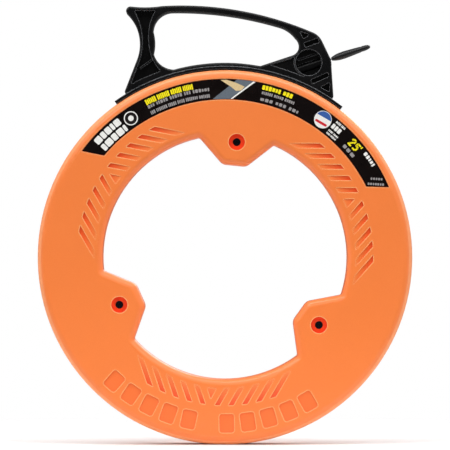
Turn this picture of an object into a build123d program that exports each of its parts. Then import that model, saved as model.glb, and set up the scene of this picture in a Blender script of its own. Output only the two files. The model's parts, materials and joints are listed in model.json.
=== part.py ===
"""Fish tape reel: a two-shell ring case that turns on a carrying handle and holds a coil of flat steel tape.

Millimetres, +Z up, front face towards -Y. The origin is on the ground under the middle of the case,
which stands on its rim with the handle on top. The case turns about the Y line through (0, 0, case_r).
"""
from build123d import *
from math import acos, cos, degrees, pi, radians, sin, sqrt, tan
import os

os.makedirs("parts", exist_ok=True)

# ---- driving dimensions -------------------------------------------------------------------------
case_r = 140.0            # outer radius of the ring case
case_half = 19.0          # half the thickness of the case
opening_r = 91.4          # finger opening between the lobes
rim_round = 6.0           # rounded outer edge of each face
lip_round = 5.0           # rounded edge round the finger opening
wall = 2.6                # moulded wall of the shells
face_wall = 2.8           # wall behind each face
slot_half = 5.6           # half the width of the slot round the rim
running_gap = 0.4         # play between the case and what the handle holds inside it

lobe_angles = [84.2, 204.2, 324.2]
lobe_tip_r = 69.0         # flat end of a finger lobe
lobe_tip_half = 9.0       # half the width of that flat end, before its corners are rounded
lobe_flank_deg = 43.5     # slope of the lobe's sides against its flat end
lobe_tip_round = 7.0
lobe_root_round = 2.0
screw_r = 86.5            # the three case screws, one in each lobe

tape_width = 6.35
tape_thick = 0.76
coil_pitch = 1.15         # radial step of one turn of the loose coil
coil_outer_r = 114.7      # outer face of the last turn
half_turns = 22
tape_r = 115.7            # the straight run leaves the coil as a tangent to this radius
tape_rise_deg = 18.4      # the straight run climbs at this angle, towards +X
exit_run = 121.8          # from the tangent point to the mouth of the nose
tip_gap = 1.0             # bare tape showing between the mouth and the tip

handle_half = 14.0        # half the width of the handle across the palm
web_half = 3.0            # half the web left between the handle's pockets
saddle_half = 15.0        # half the width of the saddle's flange on the rim
saddle_in_r = 140.5
saddle_out_r = 142.8
saddle_top_r = 145.4
neck_half = slot_half - running_gap
hoop_in_r = 117.4
hoop_out_r = 119.8
hoop_half = 7.0

# ---- frames -------------------------------------------------------------------------------------
# face_plane is the middle plane of the case seen from the front: x to the right, y up, z to the viewer
front = (0, -1, 0)
face_plane = Plane(origin=(0, 0, case_r), x_dir=(1, 0, 0), z_dir=front)
tape_along = Vector(cos(radians(tape_rise_deg)), 0, sin(radians(tape_rise_deg)))
tape_normal = Vector(-sin(radians(tape_rise_deg)), 0, cos(radians(tape_rise_deg)))
tape_start = Vector(0, 0, case_r) + tape_normal * tape_r
# tape_plane follows the straight run: x along the tape, y across it, z out of its flat face
tape_plane = Plane(origin=tape_start, x_dir=tape_along, z_dir=tape_normal)


def polar(radius, angle):
    """A point of face_plane from its radius and its angle in degrees."""
    return (radius * cos(radians(angle)), radius * sin(radians(angle)))


def at_polar(radius, angle):
    """A location in face_plane with its y axis pointing outwards."""
    return Location((*polar(radius, angle), 0), (0, 0, angle - 90))


def radial_plane(radius, angle):
    """A plane facing outwards at a radius and an angle of face_plane."""
    outwards = (cos(radians(angle)), 0, sin(radians(angle)))
    return Plane(origin=Vector(0, 0, case_r) + Vector(*outwards) * radius, x_dir=(0, 1, 0), z_dir=outwards)


def run_plane(distance):
    """A plane across the tape at a distance along the straight run: x across the tape, y out of its face."""
    return Plane(origin=tape_start + tape_along * distance, x_dir=(0, 1, 0), z_dir=tape_along)


def save(piece, name):
    """Label one finished sub-part and write its STEP file."""
    piece.label = name
    export_step(piece, f"parts/{name}.step")


def cross_screw(seat, head_r, head_height, shank_length, shank_r=1.5):
    """A cross-head screw: its head stands on the seat plane and its shank goes down from it."""
    with BuildPart() as screw:
        with BuildSketch(seat):
            Circle(head_r)
        extrude(amount=head_height)
        top = screw.faces().filter_by(lambda f: abs(seat.to_local_coords(f.center()).Z - head_height) < 0.01)
        fillet(top.edges(), head_height * 0.3)
        with BuildSketch(seat):
            Circle(shank_r)
        extrude(amount=-shank_length)
        with BuildSketch(seat.offset(head_height)):
            Rectangle(head_r * 1.15, head_r * 0.3)
            Rectangle(head_r * 0.3, head_r * 1.15)
        extrude(amount=-head_height * 0.55, mode=Mode.SUBTRACT)
    return screw.part


# ---- outline of the finger opening --------------------------------------------------------------
flank_run = 40.0
flank_rise = flank_run * tan(radians(lobe_flank_deg))
with BuildSketch() as lobe_sketch:
    with BuildLine():
        Polyline(
            (-lobe_tip_half, lobe_tip_r),
            (lobe_tip_half, lobe_tip_r),
            (lobe_tip_half + flank_run, lobe_tip_r + flank_rise),
            (-lobe_tip_half - flank_run, lobe_tip_r + flank_rise),
            close=True,
        )
    make_face()

with BuildSketch() as opening_sketch:
    Circle(opening_r)
    for lobe_angle in lobe_angles:
        add(lobe_sketch.sketch, rotation=lobe_angle - 90, mode=Mode.SUBTRACT)
    tip_corners = opening_sketch.vertices().filter_by(lambda v: v.center().length < screw_r - 8)
    fillet(tip_corners, lobe_tip_round)
    root_corners = opening_sketch.vertices().filter_by(lambda v: v.center().length > opening_r - 1)
    fillet(root_corners, lobe_root_round)

with BuildSketch() as walled_opening_sketch:
    add(opening_sketch.sketch)
    offset(amount=wall, kind=Kind.ARC, mode=Mode.REPLACE)

# ---- pattern sunk into both faces ---------------------------------------------------------------
grip_angles = [angle + 60 for angle in lobe_angles]
grip_in_r = 97.6
grip_out_r = 110.6
grip_width = 3.2
grip_slant_deg = 24.5
grip_first = 5.3          # the first bar's outer end, off the sector's own axis
grip_step = 10.2
grip_depth = 1.3          # at the outer end; the floor rises to the face at the inner end
grip_per_side = 5

with BuildSketch() as grip_sketch:
    for side in (-1, 1):
        for i in range(grip_per_side):
            outer_x = grip_first + grip_step * i
            outer_y = sqrt(grip_out_r**2 - outer_x**2)
            with Locations(Location((side * outer_x, outer_y, 0), (0, 0, side * grip_slant_deg))):
                Rectangle(grip_width, 4 * (grip_out_r - grip_in_r))
    Circle(grip_out_r, mode=Mode.INTERSECT)
    Circle(grip_in_r, mode=Mode.SUBTRACT)
    with BuildLine():
        Polyline((-3.4, 98.2), (3.4, 98.2), (0, 106.0), close=True)
    make_face()

with BuildPart() as grip_cut:
    with BuildSketch(face_plane.offset(case_half - grip_depth)):
        for grip_angle in grip_angles:
            add(grip_sketch.sketch, rotation=grip_angle - 90)
    extrude(amount=2 * grip_depth)
    # seen along the case's axis plane: x is the radius and y runs out of the front face
    with BuildSketch(Plane(origin=face_plane.origin, x_dir=(1, 0, 0), z_dir=(0, 0, 1))):
        with BuildLine():
            Polyline(
                (grip_in_r - 1, -case_half),
                (grip_out_r, grip_depth - case_half),
                (grip_out_r + 1, grip_depth - case_half),
                (grip_out_r + 1, -case_half - 1),
                (grip_in_r - 1, -case_half - 1),
                close=True,
            )
        make_face()
    revolve(axis=Axis(face_plane.origin, front), mode=Mode.INTERSECT)

panel_angle = 264.0       # a row of plain sunk blocks runs along the bottom of each face
panel_r = 124.0
panel_first = 6.6
panel_step = 7.3
panel_depth = 0.7
with BuildSketch() as panel_sketch:
    for side in (-1, 1):
        for i in range(5):
            with Locations(at_polar(panel_r, panel_angle + side * (panel_first + panel_step * i))):
                RectangleRounded(11.0, 14.0, 2.0)

# ---- shells -------------------------------------------------------------------------------------
inner_face = case_half - face_wall
rib_count = 18
rib_pitch = 360 / rib_count
rib_thick = 1.6
rib_in_r = 99.0
chamber_half = 3.7        # ribs stop here and keep the tape on edge
hoop_seat = hoop_half + running_gap
guide_rib_r = hoop_out_r + running_gap
guide_rib_out_r = guide_rib_r + 2.0
boss_r = 5.2
root = 0.4                # how far ribs and bosses run into the wall that they stand on
screw_hole_r = 1.55

with BuildPart() as shell_blank:
    with BuildSketch(face_plane):
        Circle(case_r)
        add(opening_sketch.sketch, mode=Mode.SUBTRACT)
    extrude(amount=case_half)
    face_edges = shell_blank.faces().sort_by(Axis.Y)[0].edges()
    rim_edge = face_edges.sort_by(SortBy.LENGTH)[-1]
    fillet(rim_edge, rim_round)
    lip_edges = shell_blank.faces().sort_by(Axis.Y)[0].inner_wires()[0].edges()
    fillet(lip_edges, lip_round)
    with BuildSketch(face_plane):
        Circle(case_r - wall)
        add(walled_opening_sketch.sketch, mode=Mode.SUBTRACT)
    extrude(amount=inner_face, mode=Mode.SUBTRACT)
    with BuildSketch(face_plane):
        Circle(case_r + 5)
        Circle(case_r - wall - 1, mode=Mode.SUBTRACT)
    extrude(amount=slot_half, mode=Mode.SUBTRACT)
    with BuildSketch(face_plane.offset(slot_half + 0.3)):
        Circle(guide_rib_out_r)
        Circle(guide_rib_r, mode=Mode.SUBTRACT)
    extrude(amount=inner_face - slot_half)
    # each radial rib keeps the tape on edge up to the hoop, then steps back to make the hoop's seat
    for rib_from, rib_out_r in ((chamber_half, hoop_in_r - running_gap), (hoop_seat, guide_rib_r + root)):
        with BuildSketch(face_plane.offset(rib_from)):
            for i in range(rib_count):
                with Locations(at_polar((rib_in_r + rib_out_r) / 2, lobe_angles[0] + rib_pitch * (i + 0.5))):
                    Rectangle(rib_thick, rib_out_r - rib_in_r)
        extrude(amount=inner_face - rib_from + root)
    with BuildSketch(face_plane):
        for lobe_angle in lobe_angles:
            with Locations(at_polar(screw_r, lobe_angle)):
                Circle(boss_r)
    extrude(amount=inner_face + root)
    add(grip_cut.part, mode=Mode.SUBTRACT)
    with BuildSketch(face_plane.offset(case_half - panel_depth)):
        add(panel_sketch.sketch)
    extrude(amount=panel_depth + 1, mode=Mode.SUBTRACT)

label_in_r = 117.7
label_out_r = 133.4
label_right_in = 26.5
label_right_out = 23.0
label_left_in = 140.0
label_left_out = 143.6
label_depth = 0.3
label_thick = 0.2
with BuildSketch() as label_sketch:
    with BuildLine():
        CenterArc((0, 0), label_out_r, label_right_out, label_left_out - label_right_out)
        Line(polar(label_out_r, label_left_out), polar(label_in_r, label_left_in))
        CenterArc((0, 0), label_in_r, label_right_in, label_left_in - label_right_in)
        Line(polar(label_in_r, label_right_in), polar(label_out_r, label_right_out))
    make_face()

recess_r = 6.1
recess_depth = 3.0
recess_wall = 2.0
well_r = 3.0
head_seat = 12.9          # the heads of the case screws sit this far in front of the middle plane
case_head_r = 2.8
case_head = 2.5
case_shank = 24.4
with BuildPart() as front_shell:
    add(shell_blank.part)
    with BuildSketch(face_plane.offset(head_seat - recess_wall)):
        for lobe_angle in lobe_angles:
            with Locations(at_polar(screw_r, lobe_angle)):
                Circle(recess_r + recess_wall)
    extrude(amount=inner_face + root - head_seat + recess_wall)
    for cut_from, cut_r in ((0, screw_hole_r), (head_seat, well_r), (case_half - recess_depth, recess_r)):
        with BuildSketch(face_plane.offset(cut_from)):
            for lobe_angle in lobe_angles:
                with Locations(at_polar(screw_r, lobe_angle)):
                    Circle(cut_r)
        extrude(amount=case_half, mode=Mode.SUBTRACT)
    with BuildSketch(face_plane.offset(case_half - label_depth)):
        add(label_sketch.sketch)
    extrude(amount=1, mode=Mode.SUBTRACT)
save(front_shell.part, "front_shell")

with BuildPart() as front_label:
    with BuildSketch(face_plane.offset(case_half - label_depth)):
        add(label_sketch.sketch)
        offset(amount=-0.3, mode=Mode.REPLACE)
    extrude(amount=label_thick)
save(front_label.part, "front_label")

# ---- where the coil's inner end is held ---------------------------------------------------------
# Seen from the front, the coil winds outwards clockwise, from its anchor to the start of the straight run.
# coil_plane has its x axis through the start of the first half turn; the inner end dips from there to a clip.
anchor_lobe = lobe_angles[1]
tape_edge = tape_thick / 2
coil_in_r = coil_outer_r - tape_edge - coil_pitch * half_turns / 2
dip_r = 40.0
dip_deg = 25.0
dip_sin = sin(radians(dip_deg))
dip_cos = cos(radians(dip_deg))
end_run = 10.0
end_mid_x = coil_in_r - dip_r + dip_r * dip_cos - end_run / 2 * dip_sin
end_mid_y = dip_r * dip_sin + end_run / 2 * dip_cos
end_mid_r = sqrt(end_mid_x**2 + end_mid_y**2)
coil_turn = anchor_lobe - degrees(acos(end_mid_x / end_mid_r))
last_arc_deg = coil_turn - (90 + tape_rise_deg)
end_angle = coil_turn + 90 + dip_deg
coil_plane = Plane(
    origin=face_plane.origin,
    x_dir=(cos(radians(coil_turn)), 0, sin(radians(coil_turn))),
    z_dir=front,
)
# anchor_plane: x along the tape's straight inner end, y towards the middle of the case, z to the viewer
anchor_plane = Plane(
    origin=radial_plane(end_mid_r, anchor_lobe).origin,
    x_dir=(cos(radians(end_angle)), 0, sin(radians(end_angle))),
    z_dir=front,
)
clip_sheet = 0.8
clip_length = 7.0
clip_edge = tape_edge + 0.06 + clip_sheet
clip_floor = -(tape_width / 2 + 0.5)
clip_base = clip_floor - clip_sheet
clip_screw_y = 3.9
clip_end_y = clip_screw_y + 2.0
clip_boss_r = 3.4
clip_hole_depth = 9.0
case_hole_depth = 13.0
rivet_r = 1.2
rivet_head_r = 1.7
rivet_head = 0.5

with BuildPart() as rear_shell:
    add(mirror(shell_blank.part, about=Plane.XZ))
    with BuildSketch(anchor_plane.offset(-inner_face - root)):
        with Locations((0, clip_screw_y)):
            Circle(clip_boss_r)
    extrude(amount=inner_face + root + clip_base)
    with BuildSketch(anchor_plane.offset(clip_base)):
        with Locations((0, clip_screw_y)):
            Circle(screw_hole_r)
    extrude(amount=-clip_hole_depth, mode=Mode.SUBTRACT)
    with BuildSketch(face_plane):
        for lobe_angle in lobe_angles:
            with Locations(at_polar(screw_r, lobe_angle)):
                Circle(screw_hole_r)
    extrude(amount=-case_hole_depth, mode=Mode.SUBTRACT)
save(rear_shell.part, "rear_shell")

for number, lobe_angle in enumerate(lobe_angles, start=1):
    seat_origin = face_plane.from_local_coords((*polar(screw_r, lobe_angle), head_seat))
    screw_seat = Plane(origin=seat_origin, x_dir=tape_along, z_dir=front)
    save(cross_screw(screw_seat, case_head_r, case_head, case_shank), f"case_screw_{number}")


# ---- tape coil and its anchor -------------------------------------------------------------------
def coil_side(shift):
    """Draw one face of the coiled tape, shifted from the tape's middle, and return its two ends."""
    for i in range(half_turns):
        centre_x = coil_pitch / 2 * (i % 2)
        CenterArc((centre_x, 0), coil_in_r + coil_pitch / 2 * i + shift, 180 * (i % 2), -180)
    last_arc = CenterArc((0, 0), coil_in_r + coil_pitch / 2 * half_turns + shift, 0, -last_arc_deg)
    dip_arc = CenterArc((coil_in_r - dip_r, 0), dip_r + shift, 0, dip_deg)
    straight = Line(dip_arc @ 1, dip_arc @ 1 + Vector(-dip_sin, dip_cos) * end_run)
    return straight @ 1, last_arc @ 1


with BuildPart() as tape_coil:
    with BuildSketch(coil_plane.offset(-tape_width / 2)):
        with BuildLine():
            near_ends = coil_side(-tape_edge)
            far_ends = coil_side(tape_edge)
            Line(near_ends[0], far_ends[0])
            Line(near_ends[1], far_ends[1])
        make_face()
    extrude(amount=tape_width)
    rivet_plane = Plane(origin=anchor_plane.origin, x_dir=anchor_plane.x_dir, z_dir=anchor_plane.y_dir)
    with BuildSketch(rivet_plane.offset(-1)):
        Circle(rivet_r + 0.05)
    extrude(amount=2, mode=Mode.SUBTRACT)
save(tape_coil.part, "tape_coil")

with BuildPart() as anchor_clip:
    with BuildSketch(anchor_plane.offset(clip_base)):
        with Locations((0, (clip_end_y - clip_edge) / 2)):
            Rectangle(clip_length, clip_end_y + clip_edge)
    extrude(amount=clip_sheet)
    with BuildSketch(anchor_plane.offset(clip_floor)):
        for side in (-1, 1):
            with Locations((0, side * (clip_edge - clip_sheet / 2))):
                Rectangle(clip_length, clip_sheet)
    extrude(amount=tape_width)
    with BuildSketch(anchor_plane.offset(clip_floor)):
        with Locations((0, clip_screw_y)):
            Circle(screw_hole_r)
    extrude(amount=-2 * clip_sheet, mode=Mode.SUBTRACT)
    with BuildSketch(rivet_plane.offset(-2)):
        Circle(rivet_r + 0.05)
    extrude(amount=4, mode=Mode.SUBTRACT)
save(anchor_clip.part, "anchor_clip")

with BuildPart() as anchor_rivet:
    with BuildSketch(rivet_plane.offset(-clip_edge)):
        Circle(rivet_r)
    extrude(amount=2 * clip_edge)
    for side in (-1, 1):
        with BuildSketch(rivet_plane.offset(side * clip_edge)):
            Circle(rivet_head_r)
        extrude(amount=side * rivet_head)
save(anchor_rivet.part, "anchor_rivet")

anchor_seat = Plane(
    origin=anchor_plane.from_local_coords((0, clip_screw_y, clip_floor)),
    x_dir=anchor_plane.x_dir,
    z_dir=front,
)
save(cross_screw(anchor_seat, head_r=2.2, head_height=1.7, shank_length=8.0), "anchor_screw")

# ---- straight run of the tape, its tip and the pin through both ---------------------------------
tip_from = exit_run + tip_gap
lead_in_tip = 12.0
lead_from = -1.0
lead_end = tip_from + lead_in_tip
pin_run = tip_from + 8.0
pin_r = 1.1
pin_half = 2.7
eye_run = tip_from + 23.5
eye_r = 1.5

with BuildPart() as tape_lead:
    with BuildSketch(tape_plane.offset(-tape_edge)):
        with Locations(((lead_from + lead_end) / 2, 0)):
            Rectangle(lead_end - lead_from, tape_width)
        with Locations((pin_run, 0)):
            Circle(pin_r + 0.05, mode=Mode.SUBTRACT)
    extrude(amount=tape_thick)
save(tape_lead.part, "tape_lead")

# sections of the tip: distance from its rear end, half its width across the tape, half its thickness
tip_sections = [
    (0.0, 3.75, 1.3),
    (3.0, 4.1, 2.2),
    (7.5, 4.3, 2.8),
    (13.0, 4.2, 2.7),
    (20.0, 3.8, 2.3),
    (26.5, 3.2, 1.95),
    (29.3, 2.4, 1.4),
    (30.3, 1.1, 0.6),
]
with BuildPart() as tape_tip:
    for run, half_width, half_thick in tip_sections:
        with BuildSketch(run_plane(tip_from + run)):
            Ellipse(half_width, half_thick)
    loft()
    with BuildSketch(tape_plane.offset(-tape_edge - 0.05)):
        with Locations((tip_from + lead_in_tip / 2, 0)):
            Rectangle(lead_in_tip + 0.2, tape_width + 0.1)
    extrude(amount=tape_thick + 0.1, mode=Mode.SUBTRACT)
    with BuildSketch(tape_plane.offset(-5)):
        with Locations((pin_run, 0)):
            Circle(pin_r + 0.03)
        with Locations((eye_run, 0)):
            Circle(eye_r)
    extrude(amount=10, mode=Mode.SUBTRACT)
save(tape_tip.part, "tape_tip")

with BuildPart() as tip_pin:
    with BuildSketch(tape_plane.offset(-pin_half)):
        with Locations((pin_run, 0)):
            Circle(pin_r)
    extrude(amount=2 * pin_half)
    chamfer(tip_pin.edges().filter_by(GeomType.CIRCLE), 0.25)
save(tip_pin.part, "tip_pin")

# ---- guide hoop: a closed ring inside the case, which the handle is screwed to ------------------
hoop_screw_angles = [66.0, 76.0, 104.0, 114.0]
hoop_head_r = 2.75
hoop_head_depth = 1.6
window_from = 90.5        # the tape leaves the coil through this window
window_to = 102.0
window_half = 4.0
cut_over = 2.0

with BuildPart() as guide_hoop:
    with BuildSketch(face_plane.offset(-hoop_half)):
        Circle(hoop_out_r)
        Circle(hoop_in_r, mode=Mode.SUBTRACT)
    extrude(amount=2 * hoop_half)
    with BuildSketch(face_plane.offset(-window_half)):
        with BuildLine():
            for window_r in (hoop_in_r - cut_over, hoop_out_r + cut_over):
                CenterArc((0, 0), window_r, window_from, window_to - window_from)
            for window_angle in (window_from, window_to):
                Line(polar(hoop_in_r - cut_over, window_angle), polar(hoop_out_r + cut_over, window_angle))
        make_face()
    extrude(amount=2 * window_half, mode=Mode.SUBTRACT)
    for hoop_angle in hoop_screw_angles:
        for cut_r, cut_depth in ((screw_hole_r, 4.0), (hoop_head_r + 0.1, hoop_head_depth)):
            with BuildSketch(radial_plane(hoop_in_r - cut_over, hoop_angle)):
                Circle(cut_r)
            extrude(amount=cut_over + cut_depth, mode=Mode.SUBTRACT)
save(guide_hoop.part, "guide_hoop")

hoop_screw_length = 9.0
for number, hoop_angle in enumerate(hoop_screw_angles, start=1):
    outwards = radial_plane(hoop_in_r + hoop_head_depth, hoop_angle)
    inwards = Plane(origin=outwards.origin, x_dir=outwards.x_dir, z_dir=-outwards.z_dir)
    hoop_screw = cross_screw(inwards, hoop_head_r, hoop_head_depth - 0.15, hoop_screw_length)
    save(hoop_screw, f"hoop_screw_{number}")

# ---- handle -------------------------------------------------------------------------------------
# All outlines are in face_plane, from the middle of the case.
foot_r = 141.2
foot_left_deg = 121.34
foot_right_deg = 55.88
foot_left = (-75.2, 123.5)
foot_right = (81.1, 119.7)
opening_left = polar(saddle_top_r, 105.3)
opening_right = polar(saddle_top_r, 79.5)
corner_round = 2.5
edge_round = 1.4

with BuildSketch() as palm_sketch:
    with BuildLine():
        ThreePointArc((-40.0, 183.2), (-49.8, 178.4), (-53.6, 169.0))
        ThreePointArc((-53.6, 169.0), (-52.4, 159.5), (-53.3, 152.5))
        ThreePointArc((-53.3, 152.5), (-48.4, 144.3), opening_left)
        ThreePointArc(opening_left, (0, saddle_top_r), opening_right)
        Line(opening_right, (50.5, 150.9))
        ThreePointArc((50.5, 150.9), (55.4, 157.6), (52.6, 164.0))
        ThreePointArc((52.6, 164.0), (47.5, 169.0), (40.0, 172.4))
        ThreePointArc((40.0, 172.4), (3.0, 180.5), (-40.0, 183.2))
    make_face()

with BuildSketch() as handle_sketch:
    with BuildLine():
        Line(polar(foot_r, foot_left_deg), foot_left)
        Line(foot_left, (-66.3, 146.3))
        ThreePointArc((-66.3, 146.3), (-63.7, 161.0), (-72.6, 181.4))
        ThreePointArc((-72.6, 181.4), (-73.9, 184.9), (-70.8, 187.5))
        ThreePointArc((-70.8, 187.5), (-59.3, 186.8), (-47.0, 187.8))
        ThreePointArc((-47.0, 187.8), (10.0, 184.6), (64.9, 168.5))
        ThreePointArc((64.9, 168.5), (69.9, 165.4), (73.1, 160.6))
        Line((73.1, 160.6), (78.7, 149.0))
        ThreePointArc((78.7, 149.0), (79.5, 145.9), (79.6, 142.6))
        Line((79.6, 142.6), foot_right)
        Line(foot_right, polar(foot_r, foot_right_deg))
        ThreePointArc(polar(foot_r, foot_right_deg), (0, foot_r), polar(foot_r, foot_left_deg))
    make_face()
    add(palm_sketch.sketch, mode=Mode.SUBTRACT)
    fillet(handle_sketch.vertices().filter_by(lambda v: v.center().length > saddle_out_r), corner_round)

# pockets moulded into both sides of the post and the nose
pocket_floor_r = 147.2
with BuildSketch() as post_pocket_sketch:
    with BuildLine():
        Line((-67.8, 184.4), (-52.2, 184.4))
        ThreePointArc((-52.2, 184.4), (-56.9, 171.0), (-56.8, 158.0))
        ThreePointArc((-56.8, 158.0), (-54.2, 148.0), polar(pocket_floor_r, 109.0))
        ThreePointArc(polar(pocket_floor_r, 109.0), polar(pocket_floor_r, 113.5), polar(pocket_floor_r, 118.7))
        Line(polar(pocket_floor_r, 118.7), (-63.9, 146.5))
        ThreePointArc((-63.9, 146.5), (-61.6, 161.0), (-67.8, 184.4))
    make_face()
    fillet(post_pocket_sketch.vertices(), 0.7)

with BuildSketch() as nose_pocket_sketch:
    with BuildLine():
        Polyline((55.6, 168.9), (63.0, 166.4), (58.7, 163.3), close=True)
    make_face()
    with BuildLine():
        Polyline((71.2, 127.2), (78.4, 130.6), (77.9, 123.7), close=True)
    make_face()
    with Locations(Location((64.7, 160.4, 0), (0, 0, 20))):
        Rectangle(11.0, 3.4)
    with Locations(Location((71.0, 133.9, 0), (0, 0, 24))):
        Rectangle(13.6, 3.2)
    fillet(nose_pocket_sketch.vertices(), 0.6)

round_pocket = (62.6, 145.6)
round_pocket_r = 9.8
round_rim_r = round_pocket_r + 1.3
with BuildSketch() as shallow_pocket_sketch:
    with BuildLine():
        Line((34.0, 143.7), (49.0, 148.6))
        Line((49.0, 148.6), (53.0, 149.8))
        Line((53.0, 149.8), (59.0, 134.9))
        ThreePointArc((59.0, 134.9), polar(pocket_floor_r, 71.6), (34.0, 143.7))
    make_face()
    with Locations(round_pocket):
        Circle(round_rim_r, mode=Mode.SUBTRACT)

shallow_depth = 3.0
tunnel_half = 7.0         # half the width of the tape's tunnel where it crosses the round pocket
tunnel_height = 6.6
tunnel_mid = 104.0        # along the straight run
handle_rib = 1.6          # thickness of the ribs in the handle's pockets
post_rib_half = 10.0
channel_width = 7.2
channel_height = 1.5
guide_from = 115.5
guide_to = 121.0
neck_from = 62.0
neck_to = 118.0
flange_from = 52.0
flange_to = 125.3


def ring_sector(inner_r, outer_r, from_deg, to_deg):
    """The flat area between two radii and two angles of face_plane."""
    with BuildSketch() as sector:
        with BuildLine():
            for radius in (inner_r, outer_r):
                CenterArc((0, 0), radius, from_deg, to_deg - from_deg)
            for angle in (from_deg, to_deg):
                Line(polar(inner_r, angle), polar(outer_r, angle))
        make_face()
    return sector.sketch


saddle_flange_sketch = ring_sector(saddle_in_r, saddle_out_r, flange_from, flange_to)
saddle_body_sketch = ring_sector(saddle_in_r, foot_r + 0.3, foot_right_deg, foot_left_deg)
neck_sketch = ring_sector(hoop_out_r, saddle_in_r + 0.3, neck_from, neck_to)

with BuildPart() as tunnel:
    with BuildSketch(tape_plane.offset(-tunnel_height / 2)):
        with Locations((tunnel_mid, 0)):
            Rectangle(2 * round_rim_r, 2 * tunnel_half)
    extrude(amount=tunnel_height)
    fillet(tunnel.edges().filter_by(lambda e: abs(e.length - 2 * round_rim_r) < 0.01), 2.4)

with BuildPart() as handle:
    with BuildSketch(face_plane.offset(-handle_half)):
        add(handle_sketch.sketch)
    extrude(amount=2 * handle_half)
    side_edges = handle.faces().filter_by(Axis.Y).edges()
    outer_edges = side_edges.filter_by(lambda e: (e.center() - face_plane.origin).length > saddle_out_r + 1)
    fillet(outer_edges, edge_round)
    with BuildSketch(face_plane.offset(-handle_half)):
        add(saddle_body_sketch)
    extrude(amount=2 * handle_half)
    with BuildSketch(face_plane.offset(-saddle_half)):
        add(saddle_flange_sketch)
    extrude(amount=2 * saddle_half)
    for side in (-1, 1):
        with BuildSketch(face_plane.offset(side * web_half)):
            add(post_pocket_sketch.sketch)
            add(nose_pocket_sketch.sketch)
            with Locations(round_pocket):
                Circle(round_pocket_r)
        extrude(amount=side * handle_half, mode=Mode.SUBTRACT)
        with BuildSketch(face_plane.offset(side * (handle_half - shallow_depth))):
            add(shallow_pocket_sketch.sketch)
        extrude(amount=side * handle_half, mode=Mode.SUBTRACT)
    add(tunnel.part)
    for rib_half, rib_place, rib_lean, rib_length in (
        (tunnel_half, (62.0, 150.2, 0), tape_rise_deg, 16.0),
        (post_rib_half, (-58.8, 144.6, 0), 36.0, 11.5),
    ):
        with BuildSketch(face_plane.offset(-rib_half)):
            with Locations(Location(rib_place, (0, 0, rib_lean))):
                Rectangle(rib_length, handle_rib)
        extrude(amount=2 * rib_half)
    with BuildSketch(face_plane.offset(-neck_half)):
        add(neck_sketch)
    extrude(amount=2 * neck_half)
    with BuildSketch(tape_plane.offset(-channel_height / 2)):
        with Locations((80, 0)):
            Rectangle(120, channel_width)
    extrude(amount=channel_height, mode=Mode.SUBTRACT)
    with BuildSketch(run_plane(guide_from - 0.1)):
        RectangleRounded(12.0, 5.2, 2.0)
    extrude(amount=20, mode=Mode.SUBTRACT)
    for hoop_angle in hoop_screw_angles:
        with BuildSketch(radial_plane(hoop_out_r - 1, hoop_angle)):
            Circle(screw_hole_r)
        extrude(amount=10, mode=Mode.SUBTRACT)
save(handle.part, "handle")

with BuildPart() as exit_guide:
    with BuildSketch(run_plane(guide_from)):
        RectangleRounded(11.8, 5.0, 1.9)
    extrude(amount=guide_to - guide_from)
    with BuildSketch(run_plane(guide_from - 1)):
        RectangleRounded(7.0, 1.4, 0.5)
    extrude(amount=guide_to - guide_from + 2, mode=Mode.SUBTRACT)
save(exit_guide.part, "exit_guide")

coiled = sum(pi * (coil_in_r + coil_pitch / 2 * i) for i in range(half_turns))
coiled += radians(last_arc_deg) * (coil_outer_r - tape_edge) + radians(dip_deg) * dip_r + end_run
print(f"tape: {coiled:.0f} mm coiled and {lead_end - lead_from:.0f} mm straight")
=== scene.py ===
"""Fish tape reel: looks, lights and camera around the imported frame. Metres, +Z up, front towards -Y."""
import json
import math
from random import Random

import bmesh
import bpy
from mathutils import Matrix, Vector


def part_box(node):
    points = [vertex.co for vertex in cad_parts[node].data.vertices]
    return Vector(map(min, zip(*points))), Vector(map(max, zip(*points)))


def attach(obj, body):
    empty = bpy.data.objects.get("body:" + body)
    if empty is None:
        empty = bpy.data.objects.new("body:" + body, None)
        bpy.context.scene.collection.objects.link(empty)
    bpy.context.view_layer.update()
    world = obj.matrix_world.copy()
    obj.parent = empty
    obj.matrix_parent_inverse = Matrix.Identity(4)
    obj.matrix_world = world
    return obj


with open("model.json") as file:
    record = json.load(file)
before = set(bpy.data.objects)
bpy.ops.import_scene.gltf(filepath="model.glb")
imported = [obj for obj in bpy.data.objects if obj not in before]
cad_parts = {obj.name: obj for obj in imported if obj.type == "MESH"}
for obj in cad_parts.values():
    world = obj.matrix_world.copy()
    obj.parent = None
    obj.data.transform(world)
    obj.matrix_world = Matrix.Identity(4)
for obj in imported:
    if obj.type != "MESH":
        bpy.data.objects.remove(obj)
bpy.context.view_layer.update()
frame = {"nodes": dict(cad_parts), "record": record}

nodes = frame["nodes"]
MM = 0.001
CENTRE_Z = 140 * MM                               # the case turns about the Y line through this height
FACE_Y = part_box("front_shell")[0].y               # the front face; the rear face mirrors it
LABEL_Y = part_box("front_label")[0].y
LOBE_ANGLES = (84.2, 204.2, 324.2)                # the three finger lobes, in degrees round the middle
SCREW_R = 86.5 * MM                               # from the middle to the case screw in each lobe
GRIPS_IN_R, GRIPS_OUT_R = 97.2 * MM, 111.4 * MM   # the ring of slanted sunk grips
PANEL_IN_R, PANEL_OUT_R = 116 * MM, 131.5 * MM    # the ring that holds the sunk blocks
RIM_R = 138 * MM                                  # outside this the rounded rim gets a painted highlight
INK_THICK = 0.03 * MM                             # one layer of print
SIDE_GLOW, FRONT_GLOW = 0.95, 0.12                # the studio at the sides, and in front and behind
CAMERA_DISTANCE = 4.0
CAMERA_HEIGHT = 164.1 * MM
FRAME_WIDTH = 335.88 * MM                         # what the picture's width spans at the face of the case


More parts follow.
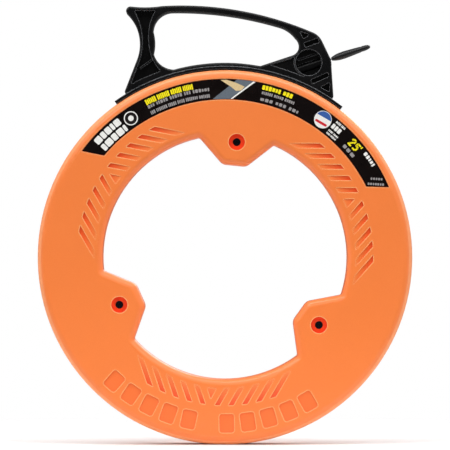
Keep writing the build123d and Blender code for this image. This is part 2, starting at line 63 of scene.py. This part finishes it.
# ---- shader helpers -----------------------------------------------------------------------------
def srgb(red, green, blue):
    """A linear colour from 8-bit sRGB values."""
    def linear(value):
        value /= 255
        return value / 12.92 if value <= 0.04045 else ((value + 0.055) / 1.055) ** 2.4
    return (linear(red), linear(green), linear(blue), 1.0)


class Graph:
    """A material's node tree, with one method for each kind of node the materials below use."""

    def __init__(self, name, roughness, metallic=0.0, specular=0.5):
        self.material = bpy.data.materials.new(name)
        self.material.use_nodes = True
        self.tree = self.material.node_tree
        self.tree.nodes.clear()
        self.out = self.tree.nodes.new("ShaderNodeOutputMaterial")
        self.shader = self.tree.nodes.new("ShaderNodeBsdfPrincipled")
        self.shader.inputs["Roughness"].default_value = roughness
        self.shader.inputs["Metallic"].default_value = metallic
        self.shader.inputs["Specular IOR Level"].default_value = specular
        self.link(self.shader.outputs[0], self.out.inputs[0])
        self.place = self.new("ShaderNodeTexCoord").outputs["Object"]

    def new(self, kind):
        return self.tree.nodes.new(kind)

    def link(self, source, target):
        self.tree.links.new(source, target)

    def feed(self, target, value):
        if isinstance(value, (int, float, tuple, list, Vector)):
            target.default_value = value
        else:
            self.link(value, target)

    def math(self, operation, first, second=0.0, clamp=False):
        node = self.new("ShaderNodeMath")
        node.operation = operation
        node.use_clamp = clamp
        self.feed(node.inputs[0], first)
        self.feed(node.inputs[1], second)
        return node.outputs[0]

    def vector(self, operation, first, second):
        node = self.new("ShaderNodeVectorMath")
        node.operation = operation
        self.feed(node.inputs[0], first)
        self.feed(node.inputs[1], second)
        return node.outputs["Value" if operation in ("DISTANCE", "DOT_PRODUCT", "LENGTH") else "Vector"]

    def split(self, vector):
        node = self.new("ShaderNodeSeparateXYZ")
        self.link(vector, node.inputs[0])
        return node.outputs

    def noise(self, scale, detail=2.0, roughness=0.5, stretch=(1, 1, 1)):
        node = self.new("ShaderNodeTexNoise")
        node.inputs["Scale"].default_value = scale
        node.inputs["Detail"].default_value = detail
        node.inputs["Roughness"].default_value = roughness
        place = self.place if stretch == (1, 1, 1) else self.vector("MULTIPLY", self.place, stretch)
        self.link(place, node.inputs["Vector"])
        return node.outputs["Fac"]

    def range(self, value, low, high, to_low=0.0, to_high=1.0, smooth=True):
        node = self.new("ShaderNodeMapRange")
        node.interpolation_type = "SMOOTHSTEP" if smooth else "LINEAR"
        self.feed(node.inputs["Value"], value)
        limits = {"From Min": low, "From Max": high, "To Min": to_low, "To Max": to_high}
        for name, number in limits.items():
            node.inputs[name].default_value = number
        return node.outputs["Result"]

    def band(self, value, low, high, soft):
        """1 between two limits, fading to 0 over a soft width outside each."""
        above = self.range(value, low - soft, low)
        below = self.range(value, high + soft, high)
        return self.math("MULTIPLY", above, below)

    def mix(self, amount, first, second):
        node = self.new("ShaderNodeMix")
        node.data_type = "RGBA"
        self.feed(node.inputs["Factor"], amount)
        self.feed(node.inputs[6], first)
        self.feed(node.inputs[7], second)
        return node.outputs[2]

    def soft_normal(self, radius):
        """The surface normal, rounded over sharp edges by a small radius."""
        node = self.new("ShaderNodeBevel")
        node.samples = 4
        node.inputs["Radius"].default_value = radius
        return node.outputs["Normal"]

    def edges(self, radius, low, high):
        """1 on sharp edges and 0 on flat areas."""
        geometry = self.new("ShaderNodeNewGeometry").outputs["Normal"]
        flat = self.vector("DOT_PRODUCT", self.soft_normal(radius), geometry)
        return self.range(flat, high, low)

    def bump(self, height, distance, strength=1.0, normal=None):
        node = self.new("ShaderNodeBump")
        node.inputs["Strength"].default_value = strength
        node.inputs["Distance"].default_value = distance
        self.link(height, node.inputs["Height"])
        if normal is not None:
            self.link(normal, node.inputs["Normal"])
        return node.outputs["Normal"]

    def colour(self, value):
        self.feed(self.shader.inputs["Base Color"], value)

    def roughness(self, value):
        self.feed(self.shader.inputs["Roughness"], value)

    def normal(self, value):
        self.link(value, self.shader.inputs["Normal"])


# ---- materials ----------------------------------------------------------------------------------
def case_plastic():
    """Orange moulded plastic: fine grain, painted shade making it redder in its recesses, and painted
    highlights pale on the rim and the edges.
    """
    g = Graph("case_plastic", 0.3, specular=0.5)
    x, y, z = g.split(g.place)
    out = g.math("SUBTRACT", z, CENTRE_Z)
    radius = g.math("SQRT", g.math("ADD", g.math("MULTIPLY", x, x), g.math("MULTIPLY", out, out)))
    depth = g.math("SUBTRACT", -FACE_Y, g.math("ABSOLUTE", y))
    base = g.mix(g.noise(14, 2), srgb(246, 130, 61), srgb(248, 133, 66))
    base = g.mix(g.range(g.noise(1300, 2), 0.35, 0.7, 0, 0.22), base, srgb(240, 118, 54))
    # painted shade: the plastic is made redder down in the sunk pattern and in the screw recesses, more so
    # deeper down
    grip_shade = g.band(radius, GRIPS_IN_R, GRIPS_OUT_R, 0.6 * MM)
    panel_shade = g.band(radius, PANEL_IN_R, PANEL_OUT_R, 1.0 * MM)
    grip_shade = g.math("MULTIPLY", grip_shade, g.range(depth, 0.05 * MM, 1.1 * MM, smooth=False))
    panel_shade = g.math("MULTIPLY", panel_shade, g.range(depth, 0.35 * MM, 0.6 * MM, 0, 0.35))
    base = g.mix(g.math("ADD", g.math("MULTIPLY", grip_shade, 0.85), panel_shade, clamp=True), base, srgb(250, 92, 36))
    near = None
    for angle in LOBE_ANGLES:
        spot_x = SCREW_R * math.cos(math.radians(angle))
        spot_z = CENTRE_Z + SCREW_R * math.sin(math.radians(angle))
        flat_place = g.vector("MULTIPLY", g.place, (1, 0, 1))
        away = g.vector("DISTANCE", flat_place, Vector((spot_x, 0, spot_z)))
        near = away if near is None else g.math("MINIMUM", near, away)
    # painted shade in the screw recesses
    recess_shade = g.math("MULTIPLY", g.range(near, 6.6 * MM, 6.2 * MM), g.range(depth, 0.4 * MM, 1.5 * MM))
    base = g.mix(recess_shade, base, srgb(255, 76, 26))
    # painted highlight: the rounded rim is made paler, and so are the sharp edges, where light catches
    # their rounding
    rim_highlight_breaks = g.range(g.noise(260, 4, 0.7), 0.3, 0.6, 0.5, 1)
    rim_highlight = g.math("MULTIPLY", g.range(radius, RIM_R - MM, RIM_R), rim_highlight_breaks)
    base = g.mix(g.math("MULTIPLY", rim_highlight, 0.4), base, srgb(255, 186, 134))
    # painted highlight along the sharp edges of the case
    uneven = g.range(g.noise(420, 3, 0.65), 0.3, 0.7, 0.75, 1)
    edge_highlight = g.math("MULTIPLY", g.edges(1.4 * MM, 0.95, 0.998), uneven)
    edge_highlight = g.math("MULTIPLY", edge_highlight, g.range(depth, 0.35 * MM, 0.1 * MM))
    base = g.mix(edge_highlight, base, srgb(255, 204, 140))
    g.colour(base)
    scratch = g.range(g.noise(60, 5, 0.75, (1, 1, 14)), 0.66, 0.72)
    rough = g.math("ADD", g.range(g.noise(140, 3), 0.3, 0.7, 0.28, 0.32), g.math("MULTIPLY", scratch, 0.03))
    g.roughness(g.math("ADD", rough, g.math("MULTIPLY", g.math("MAXIMUM", rim_highlight, edge_highlight), 0.1)))
    grain = g.math("ADD", g.noise(2600, 2), g.math("MULTIPLY", g.noise(700, 2), 0.6))
    normal = g.bump(grain, 0.03 * MM, 0.35, g.soft_normal(0.35 * MM))
    g.normal(g.bump(scratch, 0.004 * MM, 0.15, normal))
    return g.material


def black_plastic(name, tint, grain_scale, grain_depth, round_edges, edge_highlight_amount):
    """Black nylon with a moulded grain, a little dust and a painted grey highlight along its edges."""
    g = Graph(name, 0.26, specular=0.3)
    lighter = tuple(min(1.0, c * 1.5) for c in tint[:3]) + (1.0,)
    base = g.mix(g.noise(45, 3), tint, lighter)
    # painted highlight: the edges are greyed where light would catch their rounding
    uneven = g.range(g.noise(330, 4, 0.7), 0.3, 0.6, 0.45, 1)
    edge_highlight = g.math("MULTIPLY", g.edges(round_edges * 1.6, 0.8, 0.99), uneven)
    base = g.mix(g.math("MULTIPLY", edge_highlight, edge_highlight_amount), base, srgb(146, 148, 152))
    dust = g.range(g.noise(1500, 3, 0.7), 0.66, 0.76)
    g.colour(g.mix(g.math("MULTIPLY", dust, 0.06), base, srgb(140, 138, 134)))
    g.roughness(g.range(g.noise(90, 4), 0.3, 0.7, 0.22, 0.32))
    grain = g.math("ADD", g.noise(grain_scale, 3), g.math("MULTIPLY", g.noise(grain_scale / 4, 2), 0.5))
    g.normal(g.bump(grain, grain_depth, 0.28, g.soft_normal(round_edges)))
    return g.material


def metal(name, colour, roughness, brush, stretch, spots=0.0):
    """Metal with brushed or drawn marks along one direction, and faint darker spots."""
    g = Graph(name, roughness, metallic=1.0)
    marks = g.noise(brush, 4, 0.6, stretch)
    dark = tuple(c * 0.72 for c in colour[:3]) + (1.0,)
    base = g.mix(g.range(marks, 0.3, 0.75), colour, dark)
    stain = g.range(g.noise(240, 4, 0.7), 0.6, 0.72)
    g.colour(g.mix(g.math("MULTIPLY", stain, spots), base, srgb(70, 60, 52)))
    g.roughness(g.range(marks, 0.2, 0.8, roughness - 0.08, roughness + 0.1))
    g.normal(g.bump(marks, 0.01 * MM, 0.4, g.soft_normal(0.08 * MM)))
    return g.material


def film():
    """The label: black printed vinyl with a faint orange-peel surface and tiny pale flecks."""
    g = Graph("label_film", 0.28, specular=0.15)
    base = g.mix(g.noise(60, 3), srgb(9, 4, 4), srgb(16, 10, 9))
    g.colour(g.mix(g.range(g.noise(2600, 2, 0.6), 0.68, 0.76, 0, 0.25), base, srgb(90, 84, 80)))
    g.roughness(g.range(g.noise(110, 3), 0.3, 0.7, 0.24, 0.34))
    g.normal(g.bump(g.noise(520, 2), 0.012 * MM, 0.5))
    return g.material


def ink(name, colour):
    """Screen-printed ink: a fine halftone variation and slightly uneven gloss."""
    g = Graph(name, 0.4, specular=0.2)
    thin = tuple(c * 0.8 for c in colour[:3]) + (1.0,)
    g.colour(g.mix(g.range(g.noise(1700, 3, 0.6), 0.35, 0.75), colour, thin))
    g.roughness(g.range(g.noise(300, 3), 0.3, 0.7, 0.34, 0.46))
    g.normal(g.bump(g.noise(2200, 2), 0.006 * MM, 0.5))
    return g.material


materials = {
    "case_plastic": case_plastic(),
    "label_film": film(),
    "screw_black": metal("screw_black", srgb(38, 40, 46), 0.42, 1800, (1, 1, 1), 0.2),
    "tape_steel": metal("tape_steel", srgb(112, 117, 128), 0.34, 1400, (0.03, 1, 0.03), 0.12),
    "clip_steel": metal("clip_steel", srgb(196, 196, 200), 0.32, 1400, (1, 1, 4), 0.25),
    "handle_plastic": black_plastic("handle_plastic", srgb(5, 5, 6), 2100, 0.035 * MM, 0.55 * MM, 0.8),
    "hoop_plastic": black_plastic("hoop_plastic", srgb(22, 22, 24), 2800, 0.015 * MM, 0.3 * MM, 0.25),
    "guide_steel": metal("guide_steel", srgb(176, 178, 182), 0.3, 1500, (6, 1, 6), 0.2),
    "tip_plastic": black_plastic("tip_plastic", srgb(14, 14, 15), 2400, 0.03 * MM, 0.3 * MM, 0.45),
}
for row in frame["record"]["subparts"]:
    nodes[row["node"]].material_slots[0].material = materials[row["material_slot"]]


def add_object(name, bm, material):
    """A scene object made from a finished bmesh."""
    mesh = bpy.data.meshes.new(name)
    bm.to_mesh(mesh)
    bm.free()
    mesh.materials.append(material)
    item = bpy.data.objects.new(name, mesh)
    bpy.context.scene.collection.objects.link(item)
    return item


# ---- the label's printing -----------------------------------------------------------------------
# Flat shapes in the plane of the case's face: x to the right and z up from the middle of the case, in mm.
def polar(radius, angle):
    return (radius * math.cos(math.radians(angle)), radius * math.sin(math.radians(angle)))


def turned(points, centre, angle):
    """Points about (0, 0), turned by an angle in degrees and moved to a centre."""
    c, s = math.cos(math.radians(angle)), math.sin(math.radians(angle))
    return [(centre[0] + c * x - s * z, centre[1] + s * x + c * z) for x, z in points]


def block(width, height, corner):
    """A rectangle about (0, 0) with rounded corners."""
    points = []
    for quarter in range(4):
        side_x = 1 if quarter in (0, 3) else -1
        side_z = 1 if quarter in (0, 1) else -1
        for step in range(4):
            angle = 90 * quarter + 30 * step
            x, z = polar(corner, angle)
            points.append((side_x * (width / 2 - corner) + x, side_z * (height / 2 - corner) + z))
    return points


def disc(radius, steps=40):
    return [polar(radius, 360 * i / steps) for i in range(steps)]


def segment(radius, cut, steps=24):
    """The part of a disc above a level line."""
    start = math.degrees(math.asin(cut / radius))
    return [polar(radius, start + (180 - 2 * start) * i / steps) for i in range(steps + 1)]


def text_line(rng, radius, angle_from, angle_to, height, words, bold=0.0):
    """Plain blocks in place of a line of print, in word-like groups along an arc."""
    shapes = []
    length = math.radians(abs(angle_from - angle_to)) * radius
    letters = [rng.choice((3, 4, 5, 6, 7)) for _ in range(words)]
    widths = [[rng.uniform(0.4 + bold, 0.85) * height for _ in range(count)] for count in letters]
    gap = (0.24 - 0.4 * bold) * height
    space = 0.75 * height
    total = sum(sum(word) + gap * (len(word) - 1) for word in widths) + space * (words - 1)
    scale = length / total
    along = 0.0
    for word in widths:
        for width in word:
            middle = (along + width / 2) * scale
            angle = angle_from - math.degrees(middle / radius)
            tall = height * rng.choice((1.0, 1.0, 0.86))
            shape = block(width * scale, tall, min(width * scale, tall) * 0.22)
            shapes.append(turned(shape, polar(radius, angle), angle - 90))
            along += width + gap
        along += space - gap
    return shapes


def printed(name, shapes, ink_material, level=0):
    """One piece of print: thin raised shapes on the label film."""
    near = LABEL_Y - INK_THICK * (level + 1)
    far = LABEL_Y - INK_THICK * level
    bm = bmesh.new()
    for points in shapes:
        rings = []
        for y in (near, far):
            rings.append([bm.verts.new((x * MM, y, CENTRE_Z + z * MM)) for x, z in points])
        bm.faces.new(rings[0])
        bm.faces.new(list(reversed(rings[1])))
        count = len(points)
        for i in range(count):
            j = (i + 1) % count
            bm.faces.new((rings[0][j], rings[0][i], rings[1][i], rings[1][j]))
    bmesh.ops.recalc_face_normals(bm, faces=bm.faces)
    piece = add_object(name, bm, ink_material)
    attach(piece, "case")


white = ink("ink_white", srgb(244, 244, 240))
yellow = ink("ink_yellow", srgb(255, 238, 30))
grey = ink("ink_grey", srgb(158, 154, 154))
slate = ink("ink_slate", srgb(104, 114, 124))
gold = ink("ink_gold", srgb(226, 200, 150))
blue = ink("ink_blue", srgb(58, 96, 168))
red = ink("ink_red", srgb(214, 40, 52))
dark = ink("ink_black", srgb(26, 20, 20))

rng = Random(11)
title = []
for radius, sizes in ((128.7, (5.4, 3.6, 4.6, 2.6, 5.0)), (121.9, (3.4, 5.6, 4.2, 5.4, 2.4))):
    angle = 138.4
    for width in sizes:
        angle -= math.degrees((width / 2) / radius)
        title.append(turned(block(width, 5.3, 0.9), polar(radius, angle), angle - 90))
        angle -= math.degrees((width / 2 + 0.75) / radius)
printed("print_title", title, white)
ring_place = polar(125.3, 124.1)
printed("print_roundel_rim", [turned(disc(5.3), ring_place, 0)], white)
printed("print_roundel_field", [turned(disc(4.5), ring_place, 0)], dark, 1)
printed("print_roundel_mark", [turned(disc(2.1), ring_place, 0)], white, 2)

yellow_lines = text_line(rng, 129.6, 117.2, 100.7, 4.2, 4, 0.2)
yellow_lines += text_line(rng, 130.0, 77.6, 67.2, 3.4, 2, 0.2)
printed("print_yellow_lines", yellow_lines, yellow)
grey_lines = text_line(rng, 125.8, 117.2, 95.4, 2.5, 5) + text_line(rng, 121.0, 117.2, 95.4, 2.7, 6)
grey_lines += text_line(rng, 125.9, 77.4, 65.8, 2.3, 3) + text_line(rng, 121.0, 77.4, 63.2, 2.4, 3)
grey_lines += text_line(rng, 121.8, 43.4, 38.0, 2.6, 1)
printed("print_grey_lines", grey_lines, grey)

chevron = [(-9.3, 118.0), (3.6, 118.3), (21.0, 131.4), (9.0, 132.8), (2.6, 127.4)]
printed("print_chevron", [chevron], slate)
flash = [(-3.4, 132.4), (1.0, 132.6), (8.0, 130.4), (14.6, 127.4), (12.2, 124.6)]
flash += [(8.2, 124.2), (4.6, 127.2)]
printed("print_flash", [flash], gold, 1)
slash = [(4.0, 118.3), (5.6, 118.3), (22.9, 130.9), (21.2, 131.3)]
printed("print_slash", [slash], white, 1)

badge_place = polar(126.1, 54.6)
printed("print_badge", [turned(disc(6.6), badge_place, 0)], white)
printed("print_badge_top", [turned(segment(6.2, 1.8), badge_place, -30)], blue, 1)
bar = block(9.6, 1.9, 0.9)
printed("print_badge_bar", [turned(bar, (badge_place[0] - 1.4, badge_place[1] - 2.4), -30)], red, 1)

side_lines = text_line(rng, 131.0, 50.6, 46.9, 1.8, 2)
for width, angle in ((2.4, 50.4), (2.2, 49.1), (2.6, 47.8)):
    side_lines.append(turned(block(width, 3.8, 0.5), polar(126.9, angle), angle - 90))
side_lines += text_line(rng, 122.6, 50.9, 46.7, 1.5, 2) + text_line(rng, 120.2, 50.9, 46.7, 1.5, 2)
side_lines += text_line(rng, 130.2, 36.8, 31.6, 2.9, 1)
printed("print_white_lines", side_lines, white)
end_lines = []
for centre, length, words in (((113.1, 58.7), 9.4, 5), ((112.6, 54.9), 12.6, 7)):
    step = length / words
    for i in range(words):
        place = (centre[0] - length / 2 + step * (i + 0.5), centre[1] - 0.06 * step * i)
        end_lines.append(turned(block(step * rng.uniform(0.6, 0.8), 1.7, 0.3), place, -4))
printed("print_end_lines", end_lines, grey)

# the tape's length in feet, a plain number
# each stroke: its middle to the right and up, its length, and how far it leans from upright
digit_two = [
    (-1.5, 1.9, 1.4, 0), (-0.2, 2.7, 2.4, 90), (1.1, 1.5, 2.4, 0),
    (-0.2, -0.5, 3.7, -36), (-0.2, -2.6, 3.5, 90),
]
digit_five = [
    (0.1, 2.7, 3.3, 90), (-1.2, 1.5, 2.8, 0), (0.0, 0.5, 2.6, 90),
    (1.2, -1.0, 2.8, 0), (-0.3, -2.6, 2.9, 90),
]
number = []
for offset, strokes in ((-2.4, digit_two), (2.2, digit_five)):
    for x, z, length, lean in strokes:
        number.append(turned(block(1.3, length, 0.5), (x + offset + 0.12 * z, z), lean))
number.append(turned(block(0.9, 2.0, 0.3), (5.2, 2.7), -8))
number_place = polar(127.9, 40.9)
printed("print_number", [turned(shape, number_place, 40.9 - 90) for shape in number], yellow)


# ---- stage, lights and camera -------------------------------------------------------------------
def floor_material():
    """Pale matt floor that fades away round the reel."""
    g = Graph("stage_floor", 0.85, specular=0.1)
    grey_level = g.range(g.noise(3, 2), 0.3, 0.7, 0.0, 1.0)
    g.colour(g.mix(grey_level, (0.86, 0.86, 0.86, 1), (0.88, 0.88, 0.88, 1)))
    away = g.vector("LENGTH", g.vector("MULTIPLY", g.place, (1, 1, 0)), (0, 0, 0))
    clear = g.new("ShaderNodeBsdfTransparent")
    blend = g.new("ShaderNodeMixShader")
    g.link(g.range(away, 0.18, 0.55), blend.inputs[0])
    g.link(g.shader.outputs[0], blend.inputs[1])
    g.link(clear.outputs[0], blend.inputs[2])
    g.link(blend.outputs[0], g.out.inputs[0])
    return g.material


bm = bmesh.new()
bmesh.ops.create_grid(bm, x_segments=2, y_segments=2, size=0.8)
add_object("stage_floor", bm, floor_material())


def studio_world():
    """White to the camera; to everything else bright above and at the sides, dark in front and behind."""
    world = bpy.data.worlds.new("studio")
    world.use_nodes = True
    tree = world.node_tree
    tree.nodes.clear()
    new, link = tree.nodes.new, tree.links.new
    world_out = new("ShaderNodeOutputWorld")
    shown = new("ShaderNodeBackground")
    ambient = new("ShaderNodeBackground")
    for background in (shown, ambient):
        background.inputs["Color"].default_value = (1, 1, 1, 1)
        background.inputs["Strength"].default_value = 1.0
    direction = new("ShaderNodeSeparateXYZ")
    link(new("ShaderNodeTexCoord").outputs["Generated"], direction.inputs[0])
    depthwise = new("ShaderNodeMath")
    depthwise.operation = "ABSOLUTE"
    link(direction.outputs[1], depthwise.inputs[0])
    falloff = new("ShaderNodeMapRange")
    falloff.interpolation_type = "SMOOTHSTEP"
    link(depthwise.outputs[0], falloff.inputs["Value"])
    limits = {"From Min": 0.35, "From Max": 0.85, "To Min": SIDE_GLOW, "To Max": FRONT_GLOW}
    for name, number in limits.items():
        falloff.inputs[name].default_value = number
    link(falloff.outputs["Result"], ambient.inputs["Strength"])
    pick = new("ShaderNodeMixShader")
    link(new("ShaderNodeLightPath").outputs["Is Camera Ray"], pick.inputs[0])
    link(ambient.outputs[0], pick.inputs[1])
    link(shown.outputs[0], pick.inputs[2])
    link(pick.outputs[0], world_out.inputs[0])
    return world


bpy.context.scene.world = studio_world()


def area_light(name, place, aim, size, energy):
    """A rectangular lamp turned towards a point, unseen by the camera."""
    data = bpy.data.lights.new(name, "AREA")
    data.shape = "RECTANGLE"
    data.size, data.size_y = size
    data.energy = energy
    lamp = bpy.data.objects.new(name, data)
    lamp.location = place
    lamp.rotation_mode = "QUATERNION"
    lamp.rotation_quaternion = (Vector(aim) - Vector(place)).to_track_quat("-Z", "Y")
    lamp.visible_camera = False
    bpy.context.scene.collection.objects.link(lamp)


middle = (0, 0, 0.16)
area_light("key_left", (-1.0, -1.35, 1.35), middle, (0.7, 0.4), 8)
area_light("key_right", (1.1, -1.3, 1.25), middle, (0.7, 0.4), 5)
area_light("fill", (0.0, -1.7, 1.2), middle, (0.8, 0.5), 3.4)
area_light("top", (0.0, -0.35, 1.3), middle, (1.6, 0.3), 9)
area_light("back", (0.7, 1.7, 1.0), middle, (1.2, 1.0), 15)

camera_data = bpy.data.cameras.new("camera")
camera_data.sensor_width = 36
camera_data.lens = camera_data.sensor_width * CAMERA_DISTANCE / FRAME_WIDTH
camera_data.clip_end = 50
camera = bpy.data.objects.new("camera", camera_data)
camera.location = (0, FACE_Y - CAMERA_DISTANCE, CAMERA_HEIGHT)
camera.rotation_euler = (math.radians(90), 0, 0)
bpy.context.scene.collection.objects.link(camera)
bpy.context.scene.camera = camera
bpy.context.scene.view_settings.view_transform = "Standard"
